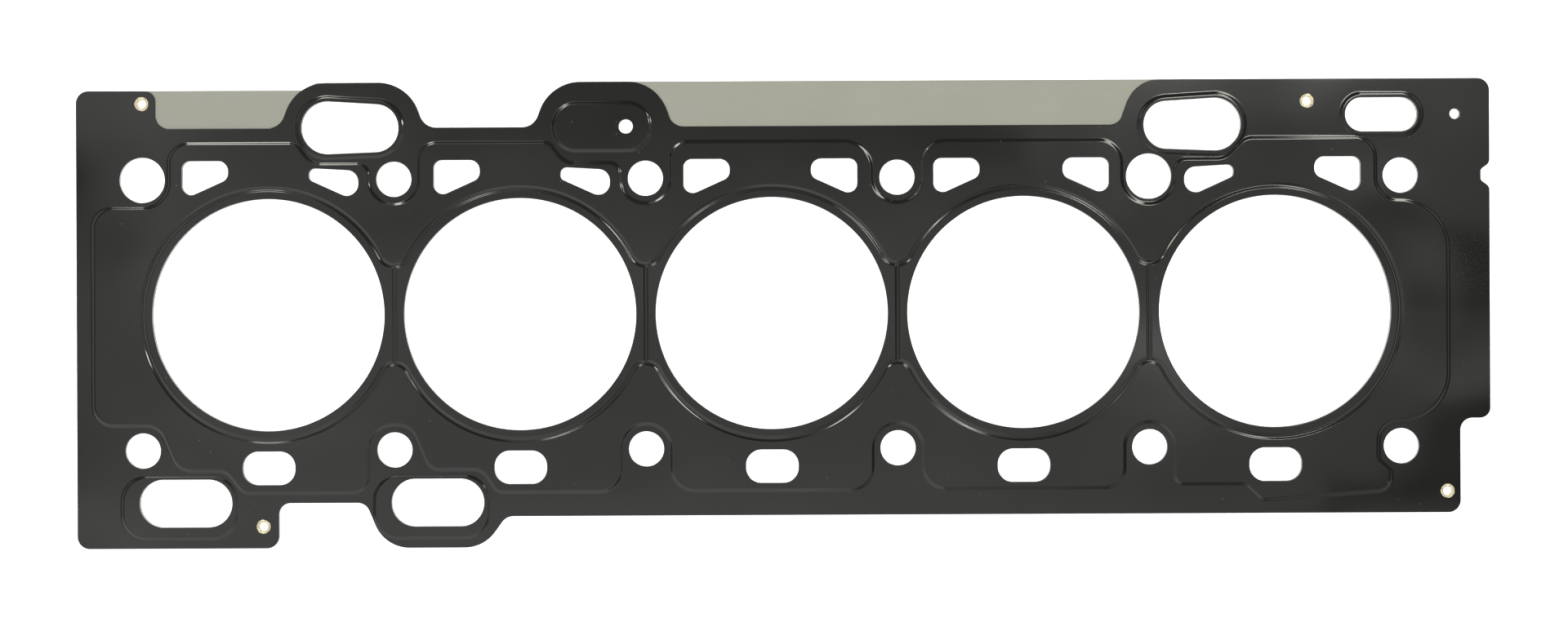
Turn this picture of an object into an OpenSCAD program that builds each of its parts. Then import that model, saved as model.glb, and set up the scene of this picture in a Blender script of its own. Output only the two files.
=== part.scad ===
// Cylinder head gasket for a five-cylinder in-line engine.
// Two black coated bead sheets lie over and under a bare steel distance sheet,
// and four brass eyelets hold the three together until the gasket is clamped.
// Millimetres. The origin is the middle cylinder opening's centre on the lowest face.
// +X runs along the cylinders, +Y towards the side with the raised bosses, +Z up.

/* [Cylinders] */
// Distance between neighbouring cylinder centres
bore_pitch = 88; // [86:0.5:90]
// Diameter of each cylinder opening
bore_d = 81.2; // [78:0.2:82]

/* [Bolt and dowel holes] */
// Distance between the two rows of head bolts
bolt_rows = 94.7; // [93.5:0.1:96]
// Diameter of each head bolt hole
bolt_hole_d = 12.3; // [11:0.1:13]
// Diameter of the two holes that clear a locating sleeve
dowel_hole_d = 15.8; // [14:0.1:16.4]
// Diameter of the vent hole in the blind oblong
vent_hole_d = 5; // [3:0.1:7]
// Diameter of the assembly hole in the upper right corner
corner_hole_d = 3.6; // [2:0.1:5]

/* [Sheets] */
// Thickness of each black bead sheet
bead_sheet_t = 0.25; // [0.2:0.01:0.3]
// Thickness of the bare distance sheet
distance_t = 0.7; // [0.5:0.05:1.1]

/* [Beads] */
// Height of every bead and step
bead_h = 0.2; // [0.12:0.01:0.25]
// Width of the slope at a step
step_w = 1.4; // [1:0.1:1.6]
// Width of the channel around each cylinder opening
channel_w = 2.1; // [1.5:0.1:2.4]
// Flat land between a cylinder opening and the middle of its channel
bore_land = 3.5; // [3.2:0.1:3.8]
// Radius of the channel where it passes from one cylinder to the next
valley_r = 5.25; // [4:0.25:7]
// Land between an upper oil slot and the middle of its step
slot_land = 1.6; // [1.2:0.1:1.8]

/* [Outline] */
// End bolt column to the left edge
left_margin = 23.1; // [22:0.1:26]
// End bolt column to the right edge
right_margin = 31.2; // [30:0.1:36]
// Height of the upper edge at the bosses, above the cylinder row
boss_top = 81.2; // [80.5:0.1:83]
// Height of the upper edge at the left corner tab
tab_top = 78.6; // [77:0.1:79.5]
// Height of the upper edge between the bosses
waist_top = 65.4; // [64.5:0.1:66.5]
// Depth of the lower edge at the lower boss and tab, below the cylinder row
boss_bottom = 81.6; // [81:0.1:84]
// Depth of the lower edge along most of the length
waist_bottom = 70.7; // [70:0.1:72]
// Depth of the lower edge between the left tab and the lower boss
inlet_bottom = 65.8; // [64.5:0.1:67]
// Depth of the thickness notch in the right edge
notch_depth = 3.1; // [2:0.1:4]

/* [Water and oil openings] */
// Length of each lower water slot
water_slot_l = 18.4; // [16:0.1:20]
// Width of each lower water slot
water_slot_w = 11.7; // [11:0.1:12]
// Depth of the lower water slots' middle, below the cylinder row
water_slot_y = 53.6; // [53.3:0.1:54]
// Length of each lower oil slot
oil_slot_l = 32.4; // [28:0.1:33]
// Width of each lower oil slot
oil_slot_w = 16.7; // [15:0.1:17]
// Depth of the lower oil slots' middle, below the cylinder row
oil_slot_y = 65.8; // [65.5:0.1:66.5]
// Length of the small oil slot in the upper right corner
return_slot_l = 25.3; // [20:0.1:27]
// Width of the small oil slot in the upper right corner
return_slot_w = 11.9; // [10:0.1:12.5]

/* [Eyelets] */
// Outer diameter of the rolled head
eyelet_head_d = 4.9; // [4.4:0.1:6]
// Diameter of the hole through the eyelet
eyelet_bore_d = 3.1; // [2.6:0.1:3.2]
// Wall of the eyelet's tube
eyelet_wall = 0.35; // [0.25:0.05:0.4]
// Height of the rolled head above the sheet
eyelet_head_h = 0.35; // [0.2:0.05:0.5]
// Gap between the eyelet's tube and its hole
eyelet_gap = 0.05; // [0.02:0.01:0.1]

/* [Hidden] */

COATING = "#383734";
BARE_STEEL = "#a5a698";
BRASS = "#d8c27c";

// True circles are drawn with this many sides, and the cylinder openings and eyelets with these
$fn = 96;
BORE_SIDES = 180;
EYELET_SIDES = 48;
// Turn between two points of an eyelet's rolled head
ROLL_STEP = 15;
// Largest turn between two points of a rounded corner, on an edge and on a sloped step
ARC_STEP = 10;
SLOPE_ARC_STEP = 15;
// How far a cut runs past the face that it opens
PAST = 0.1;
// How far the wedge of a sloped step reaches into the flat middle
HEEL = 0.3;

// Heights of the stack, from the lowest face up
lower_face = bead_h + bead_sheet_t;
upper_face = lower_face + distance_t;
stack_top = upper_face + bead_sheet_t;

// Columns of bolts, from left to right, and the two rows
function column(i) = (i - 2.5) * bore_pitch;
c0 = column(0);
c1 = column(1);
c2 = column(2);
c3 = column(3);
c4 = column(4);
c5 = column(5);
row = bolt_rows / 2;

// The edges that the outlines share
left = c0 - left_margin;
right = c5 + right_margin;
shoulder = right - 10.5;

// Corner radii of the edge, limited by how far a boss, the tab or the inlet stands out
boss_rise = boss_top - waist_top;
tab_rise = tab_top - waist_top;
inlet_rise = boss_bottom - inlet_bottom;
boss_r = min(15, 0.95 * boss_rise);
end_boss_r = min(12.5, 0.8 * boss_rise);
tab_r = min(3.8, 0.4 * tab_rise);
tab_foot_r = min(4.6, 0.4 * tab_rise);
lower_boss_r = min(13, 1.2 * (boss_bottom - waist_bottom));
inlet_foot_r = min(4.5, 0.45 * inlet_rise);
inlet_r = min(4, 0.45 * inlet_rise);
lower_tab_r = min(4.3, 0.45 * inlet_rise);

// Cylinder channels: centre radius, and the centre of the valley between two cylinders
channel_r = bore_d / 2 + bore_land;
valley_y = sqrt(pow(channel_r + valley_r, 2) - pow(bore_pitch / 2, 2));
valley_angle = atan2(valley_y, bore_pitch / 2);
// Flat bottom of the channel
CHANNEL_FLAT = 0.3;
// A valley's channel is this much narrower on each side, and turns this far into the rings it joins
VALLEY_INSET = 0.02;
VALLEY_LAP = 2.7;

function unit(v) = v / norm(v);
function rightward(v) = [v.y, -v.x];
function turned(v, a) = [v.x * cos(a) - v.y * sin(a), v.x * sin(a) + v.y * cos(a)];

// Arc at corner b between its neighbours a and c, moved inward by d.
// Corners run clockwise, so a right turn bulges outward and a left turn bites inward.
function corner_arc(a, b, c, d, step) =
    let (
        u = unit([b.x - a.x, b.y - a.y]),
        v = unit([c.x - b.x, c.y - b.y]),
        side = u.x * v.y - u.y * v.x < 0 ? 1 : -1,
        turn = acos(max(-1, min(1, u * v))),
        r = b.z,
        centre = [b.x, b.y] - u * r * tan(turn / 2) + side * r * rightward(u),
        steps = max(1, ceil(turn / step - 0.01))
    )
    [for (k = [0 : steps])
        centre - side * (r - side * d) * turned(rightward(u), -side * turn * k / steps)];

// Closed outline through corners [x, y, radius], moved inward by d
function rounded(corners, d = 0, step = ARC_STEP) =
    let (n = len(corners))
    [for (i = [0 : n - 1])
        each corner_arc(corners[(i + n - 1) % n], corners[i], corners[(i + 1) % n], d, step)];

// Corners of a rounded box, clockwise from its lower left
function box_corners(x, y, l, w, r) =
    [[x - l / 2, y - w / 2, r], [x - l / 2, y + w / 2, r],
     [x + l / 2, y + w / 2, r], [x + l / 2, y - w / 2, r]];

// The same corners seen in a mirror across x = 0, still clockwise
function mirrored(corners) =
    let (n = len(corners))
    [for (i = [n - 1 : -1 : 0]) [-corners[i].x, corners[i].y, corners[i].z]];

function moved(corners, x) = [for (p = corners) [p.x + x, p.y, p.z]];

// Lower edge and right side, shared by all three sheets, clockwise from the upper right
right_and_bottom = [
    [right, boss_top, 4.3],
    [right, row + 4.1, 2.5],
    [right - notch_depth, row + 1.9, 1.6],
    [right - notch_depth, row - 1.9, 1.6],
    [right, row - 4.1, 2.5],
    [right, -37.7, 3.6],
    [shoulder, -37.7, 4.2],
    [shoulder, -waist_bottom, 4.3],
    [c1 + 38.8, -waist_bottom, 5],
    [c1 + 31, -boss_bottom, lower_boss_r],
    [c1 - 3.6, -boss_bottom, lower_boss_r],
    [c1 - 10.2, -inlet_bottom, inlet_foot_r],
    [c1 - 40.6, -inlet_bottom, inlet_r],
    [c1 - 40.6, -boss_bottom, lower_tab_r],
    [left, -boss_bottom, 4.3]
];

// Edge of the black sheets
bead_sheet_edge = concat([
    [left, tab_top, 4.3],
    [c0 + 4.7, tab_top, tab_r],
    [c0 + 4.7, waist_top, tab_foot_r],
    [c1 - 39.8, waist_top, 6],
    [c1 - 34, boss_top, boss_r],
    [c1 + 5, boss_top, boss_r],
    [c1 + 10.7, waist_top, 6],
    [c2 - 39, waist_top, 6],
    [c2 - 33.2, boss_top, boss_r],
    [c2 + 4.1, boss_top, boss_r],
    [c2 + 9.8, waist_top, 5],
    [c4 - 10.4, waist_top, 4.5],
    [c4 - 4.7, boss_top, end_boss_r]
], right_and_bottom);

// Edge of the distance sheet, which also fills the two strips beside the bosses
distance_edge = concat([
    [left, tab_top, 4.3],
    [c1 - 32, tab_top, 2],
    [c1 - 27, boss_top, 3],
    [c1 + 5, boss_top, boss_r],
    [c1 + 10.7, waist_top, 6],
    [c2 - 39, waist_top, 6],
    [c2 - 33.2, boss_top, boss_r]
], right_and_bottom);

// The field's step passes between the upper bolts and the upper oil slots, this far above the bolts
UNDER_SLOT_RISE = 5.45;
under_slot = row + UNDER_SLOT_RISE;

// Upper oil slots, wider at their outer ends. They stand clear of the edge above and the step below.
SLOT_UNDER_EDGE = 5.9;
SLOT_OVER_STEP = 3.1;
outer_low = under_slot + SLOT_OVER_STEP;
outer_high = boss_top - SLOT_UNDER_EDGE;
inner_low = outer_low + 1.3;
inner_high = outer_high - 2.1;
// Corner radii at the two ends, as shares of half their width
outer_end_r = 0.95 * (outer_high - outer_low) / 2;
inner_end_r = 1.025 * (inner_high - inner_low) / 2;
left_oil_slot = [
    [c1 - 32.3, outer_low, outer_end_r],
    [c1 - 32.3, outer_high, outer_end_r],
    [c1 + 1.7, inner_high, inner_end_r],
    [c1 + 1.7, inner_low, inner_end_r]
];
right_oil_slot = mirrored(left_oil_slot);
// Flat left at the ends of a slot that is otherwise half round
END_FLAT = 0.1;
lower_oil_slots = [
    for (x = [c0 + 14.9, c1 + 15])
        box_corners(x, -oil_slot_y, oil_slot_l, oil_slot_w, (oil_slot_w - END_FLAT) / 2)
];
RETURN_SLOT_INSET = [6.6, 12.55]; // its middle, from the last bolt column and the upper edge
return_slot = box_corners(c5 - RETURN_SLOT_INSET.x, boss_top - RETURN_SLOT_INSET.y,
                          return_slot_l, return_slot_w, (return_slot_w - END_FLAT) / 2);

// Corner radius of each lower water slot, up to half its width
WATER_SLOT_R = 5.4;
water_slot_r = min(WATER_SLOT_R, (water_slot_w - END_FLAT) / 2);

// Upper water openings, drawn for the side right of a cylinder
wide_water = [
    [13.9, 47.6, 3.3],
    [13.9, 54, 3.6],
    [30.1, 54, 2.9],
    [30.1, 40.3, 3.3]
];
narrow_water = [
    [14.3, 47.25, 1.8],
    [14.3, 51.4, 2.2],
    [31.6, 50.4, 4.1],
    [31.6, 39.4, 4.1]
];
// Each wide one: cylinder counted from the middle, side, and how much further out it lies
WIDE_WATER_AT = [[-2, -1, 0], [-1, -1, 0], [0, -1, 0.6], [0, 1, 0], [1, -1, 1.2], [1, 1, 0], [2, 1, 0]];
// Each narrow one: cylinder counted from the middle, and side
NARROW_WATER_AT = [[-2, 1], [-1, 1], [2, -1]];

function beside(corners, side, x) = moved(side > 0 ? corners : mirrored(corners), x);

// Edge of the raised water field, which steps around every bolt and oil slot.
// Its straight runs keep these margins from the edge of the sheet and from the lower oil slots.
HUG = 8.75; // bolt centre to the middle of the step around it
DOWEL_HUG = 9.6; // the same around the hole of a locating sleeve
TOP_MARGIN = 5.3;
BOTTOM_MARGIN = 8.4;
INLET_MARGIN = 3.5;
OVER_SLOT_MARGIN = 3.15;
hug_r = HUG - 0.1;
field_top = waist_top - TOP_MARGIN;
field_bottom = BOTTOM_MARGIN - waist_bottom;
field_inlet = INLET_MARGIN - inlet_bottom;
field_over_slot = OVER_SLOT_MARGIN + oil_slot_w / 2 - oil_slot_y;
field_left = c0 - 17.3;
field_right = c5 + 16.6;
dowel_step = row - DOWEL_HUG;
last_step = field_bottom + 10.3;

// A corner radius that leaves the next corner its own on a run of the given length
function limited(r, run, next_r) = min(r, run - next_r);

// The field's step around a bolt at x, above the cylinder row (side 1) or below it (side -1).
// It comes from one height and goes on to another, and turns there with radii of its own.
function around_bolt(x, side, from, from_r, to, to_r) =
    let (inner = side * (row - HUG))
    [[x - side * HUG, from, from_r],
     [x - side * HUG, inner, limited(hug_r, abs(from - inner), from_r)],
     [x + side * HUG, inner, limited(hug_r, abs(to - inner), to_r)],
     [x + side * HUG, to, to_r]];

water_field = concat(
    [
        [field_left, -row + HUG, 7],
        [field_left, row - 9.8, 7],
        [c0 + 9.3, row - 9.8, 9],
        [c0 + 9.3, field_top, 7],
        [c1 - 34.3, field_top, 5],
        [c1 - 28.9, under_slot, 7]
    ],
    around_bolt(c1, 1, under_slot, 4, field_top, 6),
    [
        [c2 - 33.8, field_top, 4],
        [c2 - 28.2, under_slot, 7]
    ],
    around_bolt(c2, 1, under_slot, 4, field_top, 6),
    around_bolt(c3, 1, field_top, 10, field_top, 8),
    [
        [c4 - 9.4, field_top, 8],
        [c4 - 9.4, dowel_step, limited(9.2, field_top - dowel_step, 8)],
        [c4 + 9.1, dowel_step, limited(9, under_slot + 0.6 - dowel_step, 4)],
        [c4 + 9.1, under_slot + 0.6, 4],
        [c4 + 26.5, under_slot + 0.6, 6],
        [c4 + 34, field_top + 0.6, 6],
        [c5 - HUG, field_top + 0.6, 7],
        [c5 - HUG, row - HUG, 8],
        [field_right, row - HUG, 17],
        [field_right, -row + HUG, 17],
        [c5 - 8, -row + HUG, limited(7, HUG - row - last_step, 3)],
        [c5 - 8, last_step, 3],
        [c5 - 3.6, last_step - 4, 2.5],
        [c5 - 3.6, field_bottom - 0.6, 5],
        [c4 + 39.5, field_bottom - 3.8, 3],
        [c4 + 33.5, field_bottom + 1.9, 4]
    ],
    around_bolt(c4, -1, field_bottom + 1.9, 3, field_bottom + 0.7, 7),
    around_bolt(c3, -1, field_bottom + 0.7, 8, field_bottom + 0.3, 8),
    around_bolt(c2, -1, field_bottom + 0.3, 8, field_bottom, 8),
    [
        [c1 + 35.7, field_bottom, 4],
        [c1 + 30.5, field_over_slot, 6],
        [c1 + 12.3, field_over_slot, 5],
        [c1 + 5.8, -row + HUG, 7],
        [c1 - 9.1, -row + HUG, hug_r],
        [c1 - 9.1, field_inlet, 6],
        [c0 + 35, field_inlet, 4],
        [c0 + 29, field_over_slot - 0.2, 6],
        [c0 + 12.4, field_over_slot - 0.2, 7],
        [c0 + 5.7, -row + HUG, 7]
    ]
);

// Raised land around a lower oil slot, and how far it reaches past the slot on each side
LAND_LEFT = 6;
LAND_RIGHT = 1.5;
LAND_ABOVE = 0.95;
LAND_BELOW = 4.05;
function land_around(slot) = [
    [slot[0].x - LAND_LEFT, slot[0].y - LAND_BELOW, 8.5],
    [slot[1].x - LAND_LEFT, slot[1].y + LAND_ABOVE, 8.5],
    [slot[2].x + LAND_RIGHT, slot[2].y + LAND_ABOVE, 8.5],
    [slot[3].x + LAND_RIGHT, slot[3].y - LAND_BELOW, 8.5]
];

// Blind oblong with its vent hole, and the assembly hole in the upper right corner
BLIND_L = 34;
BLIND_W = 16.8;
BLIND_UNDER_EDGE = 15.8;
blind_y = boss_top - BLIND_UNDER_EDGE;
blind_land = box_corners(c2 - 15.2, blind_y, BLIND_L, BLIND_W, (BLIND_W - 0.8) / 2);
VENT = [c2 - 6.8, blind_y + 0.1];
CORNER_HOLE = [right - 12.1, boss_top - 12.5];

// Every step on a black sheet: corners, and how far outside them its middle runs
raised_areas = concat(
    [[water_field, 0], [blind_land, 0], [left_oil_slot, slot_land], [right_oil_slot, slot_land],
     [return_slot, slot_land - 0.1]],
    [for (slot = lower_oil_slots) [land_around(slot), 0]]
);

// Where the eyelets stand: in the upper left tab, between the upper right slots,
// over the lower right corner and in the lower left tab
EYELETS = [
    [c0 - 0.1, tab_top - 4.6],
    [c4 + 55.4, boss_top - 7.8],
    [shoulder - 4.6, 7.5 - waist_bottom],
    [c1 - 46, 7.6 - boss_bottom]
];

// Points of an outline at one height
function at_height(outline, z) = [for (p = outline) [p.x, p.y, z]];

// Solid with sloped sides, from PAST below z up to z + bead_h.
// A wedge runs all the way around its flat middle.
module raised_area(corners, outward, z) {
    foot = rounded(corners, -outward - step_w / 2 - step_w * PAST / bead_h, SLOPE_ARC_STEP);
    crest = rounded(corners, -outward + step_w / 2, SLOPE_ARC_STEP);
    heel = rounded(corners, -outward + step_w / 2 + HEEL, SLOPE_ARC_STEP);
    n = len(foot);
    translate([0, 0, z - PAST])
        linear_extrude(height = bead_h + PAST)
            polygon(crest);
    polyhedron(
        concat(at_height(foot, z - PAST), at_height(crest, z + bead_h), at_height(heel, z - PAST)),
        [for (i = [0 : n - 1], k = [0 : 2])
            let (j = (i + 1) % n, m = (k + 1) % 3)
            [k * n + j, m * n + j, m * n + i, k * n + i]]
    );
}

// Section of the channel: x across it, y up, with its flat floor at y = 0
module channel_section(below, inset = 0) {
    bottom = CHANNEL_FLAT / 2 - inset;
    top = bottom + (channel_w - CHANNEL_FLAT) / 2 * (1 + PAST / bead_h);
    polygon([
        [-bottom, -below], [-bottom, 0], [-top, bead_h + PAST],
        [top, bead_h + PAST], [bottom, 0], [bottom, -below]
    ]);
}

// Channel along an arc about the z axis
module channel_arc(r, from, sweep, below, inset = 0) {
    rotate([0, 0, from])
        rotate_extrude(angle = sweep)
            translate([r, 0])
                channel_section(below, inset);
}

// Channel around all five cylinder openings, floor at height z
module cylinder_channels(z, below) {
    open_turn = 180 - 2 * valley_angle;
    translate([0, 0, z]) {
        for (i = [-2 : 2])
            translate([i * bore_pitch, 0, 0]) {
                if (i == -2)
                    channel_arc(channel_r, valley_angle, 360 - 2 * valley_angle, below);
                else if (i == 2)
                    channel_arc(channel_r, 180 + valley_angle, 360 - 2 * valley_angle, below);
                else
                    for (side = [0, 180])
                        channel_arc(channel_r, side + valley_angle, open_turn, below);
            }
        for (i = [1 : 4], side = [-1, 1])
            translate([column(i), side * valley_y, 0])
                channel_arc(valley_r, (side > 0 ? 180 : 0) + valley_angle - VALLEY_LAP,
                            open_turn + 2 * VALLEY_LAP, below, VALLEY_INSET);
        for (i = [1 : 4])
            translate([column(i), 0, 0])
                rotate([90, 0, 0])
                    linear_extrude(height = 2 * (valley_y - valley_r), center = true)
                        channel_section(below);
    }
}

// Everything raised on one face of a bead sheet, above the height z
module raised_face(z, below) {
    difference() {
        for (a = raised_areas)
            raised_area(a[0], a[1], z);
        cylinder_channels(z, below);
    }
}

// Plan of all openings that go through every sheet
module openings_plan() {
    for (i = [-2 : 2]) {
        translate([i * bore_pitch, 0])
            circle(d = bore_d, $fn = BORE_SIDES);
        polygon(rounded(
            box_corners(i * bore_pitch, -water_slot_y, water_slot_l, water_slot_w, water_slot_r)));
    }
    for (i = [0 : 5], side = [-1, 1])
        translate([column(i), side * row])
            circle(d = side > 0 && (i == 0 || i == 4) ? dowel_hole_d : bolt_hole_d);
    for (a = WIDE_WATER_AT)
        polygon(rounded(beside(wide_water, a[1], a[0] * bore_pitch + a[1] * a[2])));
    for (a = NARROW_WATER_AT)
        polygon(rounded(beside(narrow_water, a[1], a[0] * bore_pitch)));
    for (slot = concat([left_oil_slot, right_oil_slot, return_slot], lower_oil_slots))
        polygon(rounded(slot));
    translate(VENT)
        circle(d = vent_hole_d);
    translate(CORNER_HOLE)
        circle(d = corner_hole_d);
    for (p = EYELETS)
        translate(p)
            circle(d = eyelet_bore_d + 2 * (eyelet_wall + eyelet_gap));
}

// One bead sheet, its margin lying on z = 0 and its raised face up
module bead_sheet() {
    difference() {
        union() {
            linear_extrude(height = bead_sheet_t)
                polygon(rounded(bead_sheet_edge));
            raised_face(bead_sheet_t, 0);
        }
        raised_face(0, 2 * PAST);
        translate([0, 0, -PAST])
            linear_extrude(height = bead_sheet_t + bead_h + 2 * PAST)
                openings_plan();
    }
}

module upper_bead_layer() {
    color(COATING)
        translate([0, 0, upper_face])
            bead_sheet();
}

module lower_bead_layer() {
    color(COATING)
        translate([0, 0, lower_face])
            mirror([0, 0, 1])
                bead_sheet();
}

module distance_layer() {
    color(BARE_STEEL)
        translate([0, 0, lower_face])
            linear_extrude(height = distance_t)
                difference() {
                    polygon(rounded(distance_edge));
                    openings_plan();
                }
}

// Half section of an eyelet: its tube, the rolled head above and the flat crimp below
module eyelet_section() {
    inner = eyelet_bore_d / 2;
    tube = inner + eyelet_wall;
    head = eyelet_head_d / 2;
    middle = (inner + head) / 2;
    reach = (head - inner) / 2;
    polygon(concat(
        [[tube, bead_h], [tube, stack_top]],
        [for (a = [0 : ROLL_STEP : 180]) [middle + reach * cos(a), stack_top + eyelet_head_h * sin(a)]],
        [for (a = [180 : ROLL_STEP : 360]) [middle + reach * cos(a), bead_h + bead_h * sin(a)]]
    ));
}

module eyelet(i) {
    color(BRASS)
        translate(EYELETS[i])
            rotate_extrude($fn = EYELET_SIDES)
                eyelet_section();
}

module eyelet_upper_left() {
    eyelet(0);
}

module eyelet_upper_right() {
    eyelet(1);
}

module eyelet_lower_right() {
    eyelet(2);
}

module eyelet_lower_left() {
    eyelet(3);
}

upper_bead_layer();
distance_layer();
lower_bead_layer();
eyelet_upper_left();
eyelet_upper_right();
eyelet_lower_right();
eyelet_lower_left();
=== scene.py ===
import math

import bpy
import numpy as np
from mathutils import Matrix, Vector
from mathutils.geometry import delaunay_2d_cdt


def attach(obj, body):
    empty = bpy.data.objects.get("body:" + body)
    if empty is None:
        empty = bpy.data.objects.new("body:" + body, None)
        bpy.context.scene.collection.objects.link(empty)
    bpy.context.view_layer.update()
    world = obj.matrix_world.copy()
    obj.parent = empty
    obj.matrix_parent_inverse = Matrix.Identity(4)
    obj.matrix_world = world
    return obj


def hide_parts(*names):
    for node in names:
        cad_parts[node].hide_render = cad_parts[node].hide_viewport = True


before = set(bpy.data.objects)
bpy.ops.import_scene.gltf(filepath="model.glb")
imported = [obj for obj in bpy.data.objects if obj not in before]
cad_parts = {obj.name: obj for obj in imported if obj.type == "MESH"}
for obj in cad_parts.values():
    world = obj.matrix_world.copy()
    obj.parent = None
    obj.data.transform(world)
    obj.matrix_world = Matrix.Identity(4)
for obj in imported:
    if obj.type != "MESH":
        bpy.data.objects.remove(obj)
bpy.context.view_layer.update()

# A millimetre in metres. Sizes below are in millimetres.
MM = 0.001

# The cylinders, counted from the middle one, and the bolt columns whose upper hole takes a sleeve
CYLINDERS = range(-2, 3)
SLEEVE_COLUMNS = (0, 4)

# Openings and eyelets
PITCH = 88.0
BORE_D = 81.2
ROW = 94.7 / 2
BOLT_HOLE_D = 12.3
SLEEVE_HOLE_D = 15.8
VENT_HOLE_D = 5.0
CORNER_HOLE_D = 3.6
WATER_SLOT_Y = -53.6
WATER_SLOT_L = 18.4
WATER_SLOT_W = 11.7
WATER_SLOT_R = 5.4
LOWER_OIL_SLOT_Y = -65.8
LOWER_OIL_SLOT_L = 32.4
LOWER_OIL_SLOT_W = 16.7
LOWER_OIL_SLOT_R = 8.3
EYELET_BORE_D = 3.1
EYELET_WALL = 0.35
EYELET_HEAD_D = 4.9
EYELET_SEAT_D = 3.9
EYELET_HEAD_H = 0.35

# Heights of the stack
BEAD_SHEET_T = 0.25
DISTANCE_T = 0.7
BEAD_H = 0.2
LOWER_FACE = BEAD_H + BEAD_SHEET_T
UPPER_FACE = LOWER_FACE + DISTANCE_T
MARGIN_FACE = UPPER_FACE + BEAD_SHEET_T
STACK_H = MARGIN_FACE + BEAD_H

# Beads: width of a step and of the channel, from a cylinder opening's edge to the channel's middle,
# the channel's radius in the valley between two rings, and from an oil slot to its step's middle
STEP_W = 1.7
CHANNEL_W = 2.3
BORE_LAND = 3.5
VALLEY_R = 5.25
SLOT_LAND = 1.6
RETURN_SLOT_LAND = SLOT_LAND - 0.1

# Rounding that the punch leaves on a coated sheet's edges: its width, drop and slope at the rim
ROLLOVER_W = 0.24
ROLLOVER_DROP = 0.04
ROLLOVER_SLOPE = 0.32

# Bolt columns from left to right, and edges
C0, C1, C2, C3, C4, C5 = [(i - 2.5) * PITCH for i in range(6)]
LEFT = C0 - 23.1
RIGHT = C5 + 31.2
SHOULDER = RIGHT - 10.5
BOSS_TOP = 81.2
TAB_TOP = 78.6
WAIST_TOP = 65.4
BOSS_BOTTOM = 81.6
WAIST_BOTTOM = 70.7
INLET_BOTTOM = 65.8
NOTCH = 3.1

# Fineness of the mesh: degrees between two points of an arc, on a cylinder opening, on a hole
# smaller than SMALL_D and where a point is tested, and the longest straight stretch
ARC_STEP = 3.0
BORE_ARC_STEP = 2.0
SMALL_ARC_STEP = 6.0
SMALL_D = 6
TEST_ARC_STEP = 1.0
STRETCH = 6.0
# Lines across a step and across a channel, and points along the channel in a web
STEP_LINES = 9
CHANNEL_LINES = 11
WEB_POINTS = 9
# Distance given to a point that an arc doesn't reach, and gaps that count as none: between two
# points of a loop, and in the triangulation
FAR_AWAY = 1e9
SAME_PLACE = 1e-4
SAME_VERTEX = 1e-5
# Share of a step by which an arc may be longer than a whole number of steps
STEP_SLACK = 0.01
# How far on either side of a point its slope is measured
SLOPE_REACH = 0.01


# Outlines, as corners (x, y, radius) in clockwise order

RIGHT_AND_BOTTOM = [
    (RIGHT, BOSS_TOP, 4.3),
    (RIGHT, ROW + 4.1, 2.5),
    (RIGHT - NOTCH, ROW + 1.9, 1.6),
    (RIGHT - NOTCH, ROW - 1.9, 1.6),
    (RIGHT, ROW - 4.1, 2.5),
    (RIGHT, -37.7, 3.6),
    (SHOULDER, -37.7, 4.2),
    (SHOULDER, -WAIST_BOTTOM, 4.3),
    (C1 + 38.8, -WAIST_BOTTOM, 5),
    (C1 + 31, -BOSS_BOTTOM, 13),
    (C1 - 3.6, -BOSS_BOTTOM, 13),
    (C1 - 10.2, -INLET_BOTTOM, 4.5),
    (C1 - 40.6, -INLET_BOTTOM, 4),
    (C1 - 40.6, -BOSS_BOTTOM, 4.3),
    (LEFT, -BOSS_BOTTOM, 4.3),
]
BEAD_SHEET_EDGE = [
    (LEFT, TAB_TOP, 4.3),
    (C0 + 4.7, TAB_TOP, 3.8),
    (C0 + 4.7, WAIST_TOP, 4.6),
    (C1 - 39.8, WAIST_TOP, 6),
    (C1 - 34, BOSS_TOP, 15),
    (C1 + 5, BOSS_TOP, 15),
    (C1 + 10.7, WAIST_TOP, 6),
    (C2 - 39, WAIST_TOP, 6),
    (C2 - 33.2, BOSS_TOP, 15),
    (C2 + 4.1, BOSS_TOP, 15),
    (C2 + 9.8, WAIST_TOP, 5),
    (C4 - 10.4, WAIST_TOP, 4.5),
    (C4 - 4.7, BOSS_TOP, 12.5),
] + RIGHT_AND_BOTTOM
DISTANCE_EDGE = [
    (LEFT, TAB_TOP, 4.3),
    (C1 - 32, TAB_TOP, 2),
    (C1 - 27, BOSS_TOP, 3),
    (C1 + 5, BOSS_TOP, 15),
    (C1 + 10.7, WAIST_TOP, 6),
    (C2 - 39, WAIST_TOP, 6),
    (C2 - 33.2, BOSS_TOP, 15),
] + RIGHT_AND_BOTTOM


def box_corners(x, y, length, width, r):
    """Corners of a rounded box, clockwise from its lower left."""
    a, b = length / 2, width / 2
    return [(x - a, y - b, r), (x - a, y + b, r), (x + a, y + b, r), (x + a, y - b, r)]


def mirrored(corners):
    """The same corners seen in a mirror across x = 0, still clockwise."""
    return [(-x, y, r) for x, y, r in reversed(corners)]


def moved(corners, by):
    return [(x + by, y, r) for x, y, r in corners]


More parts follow.
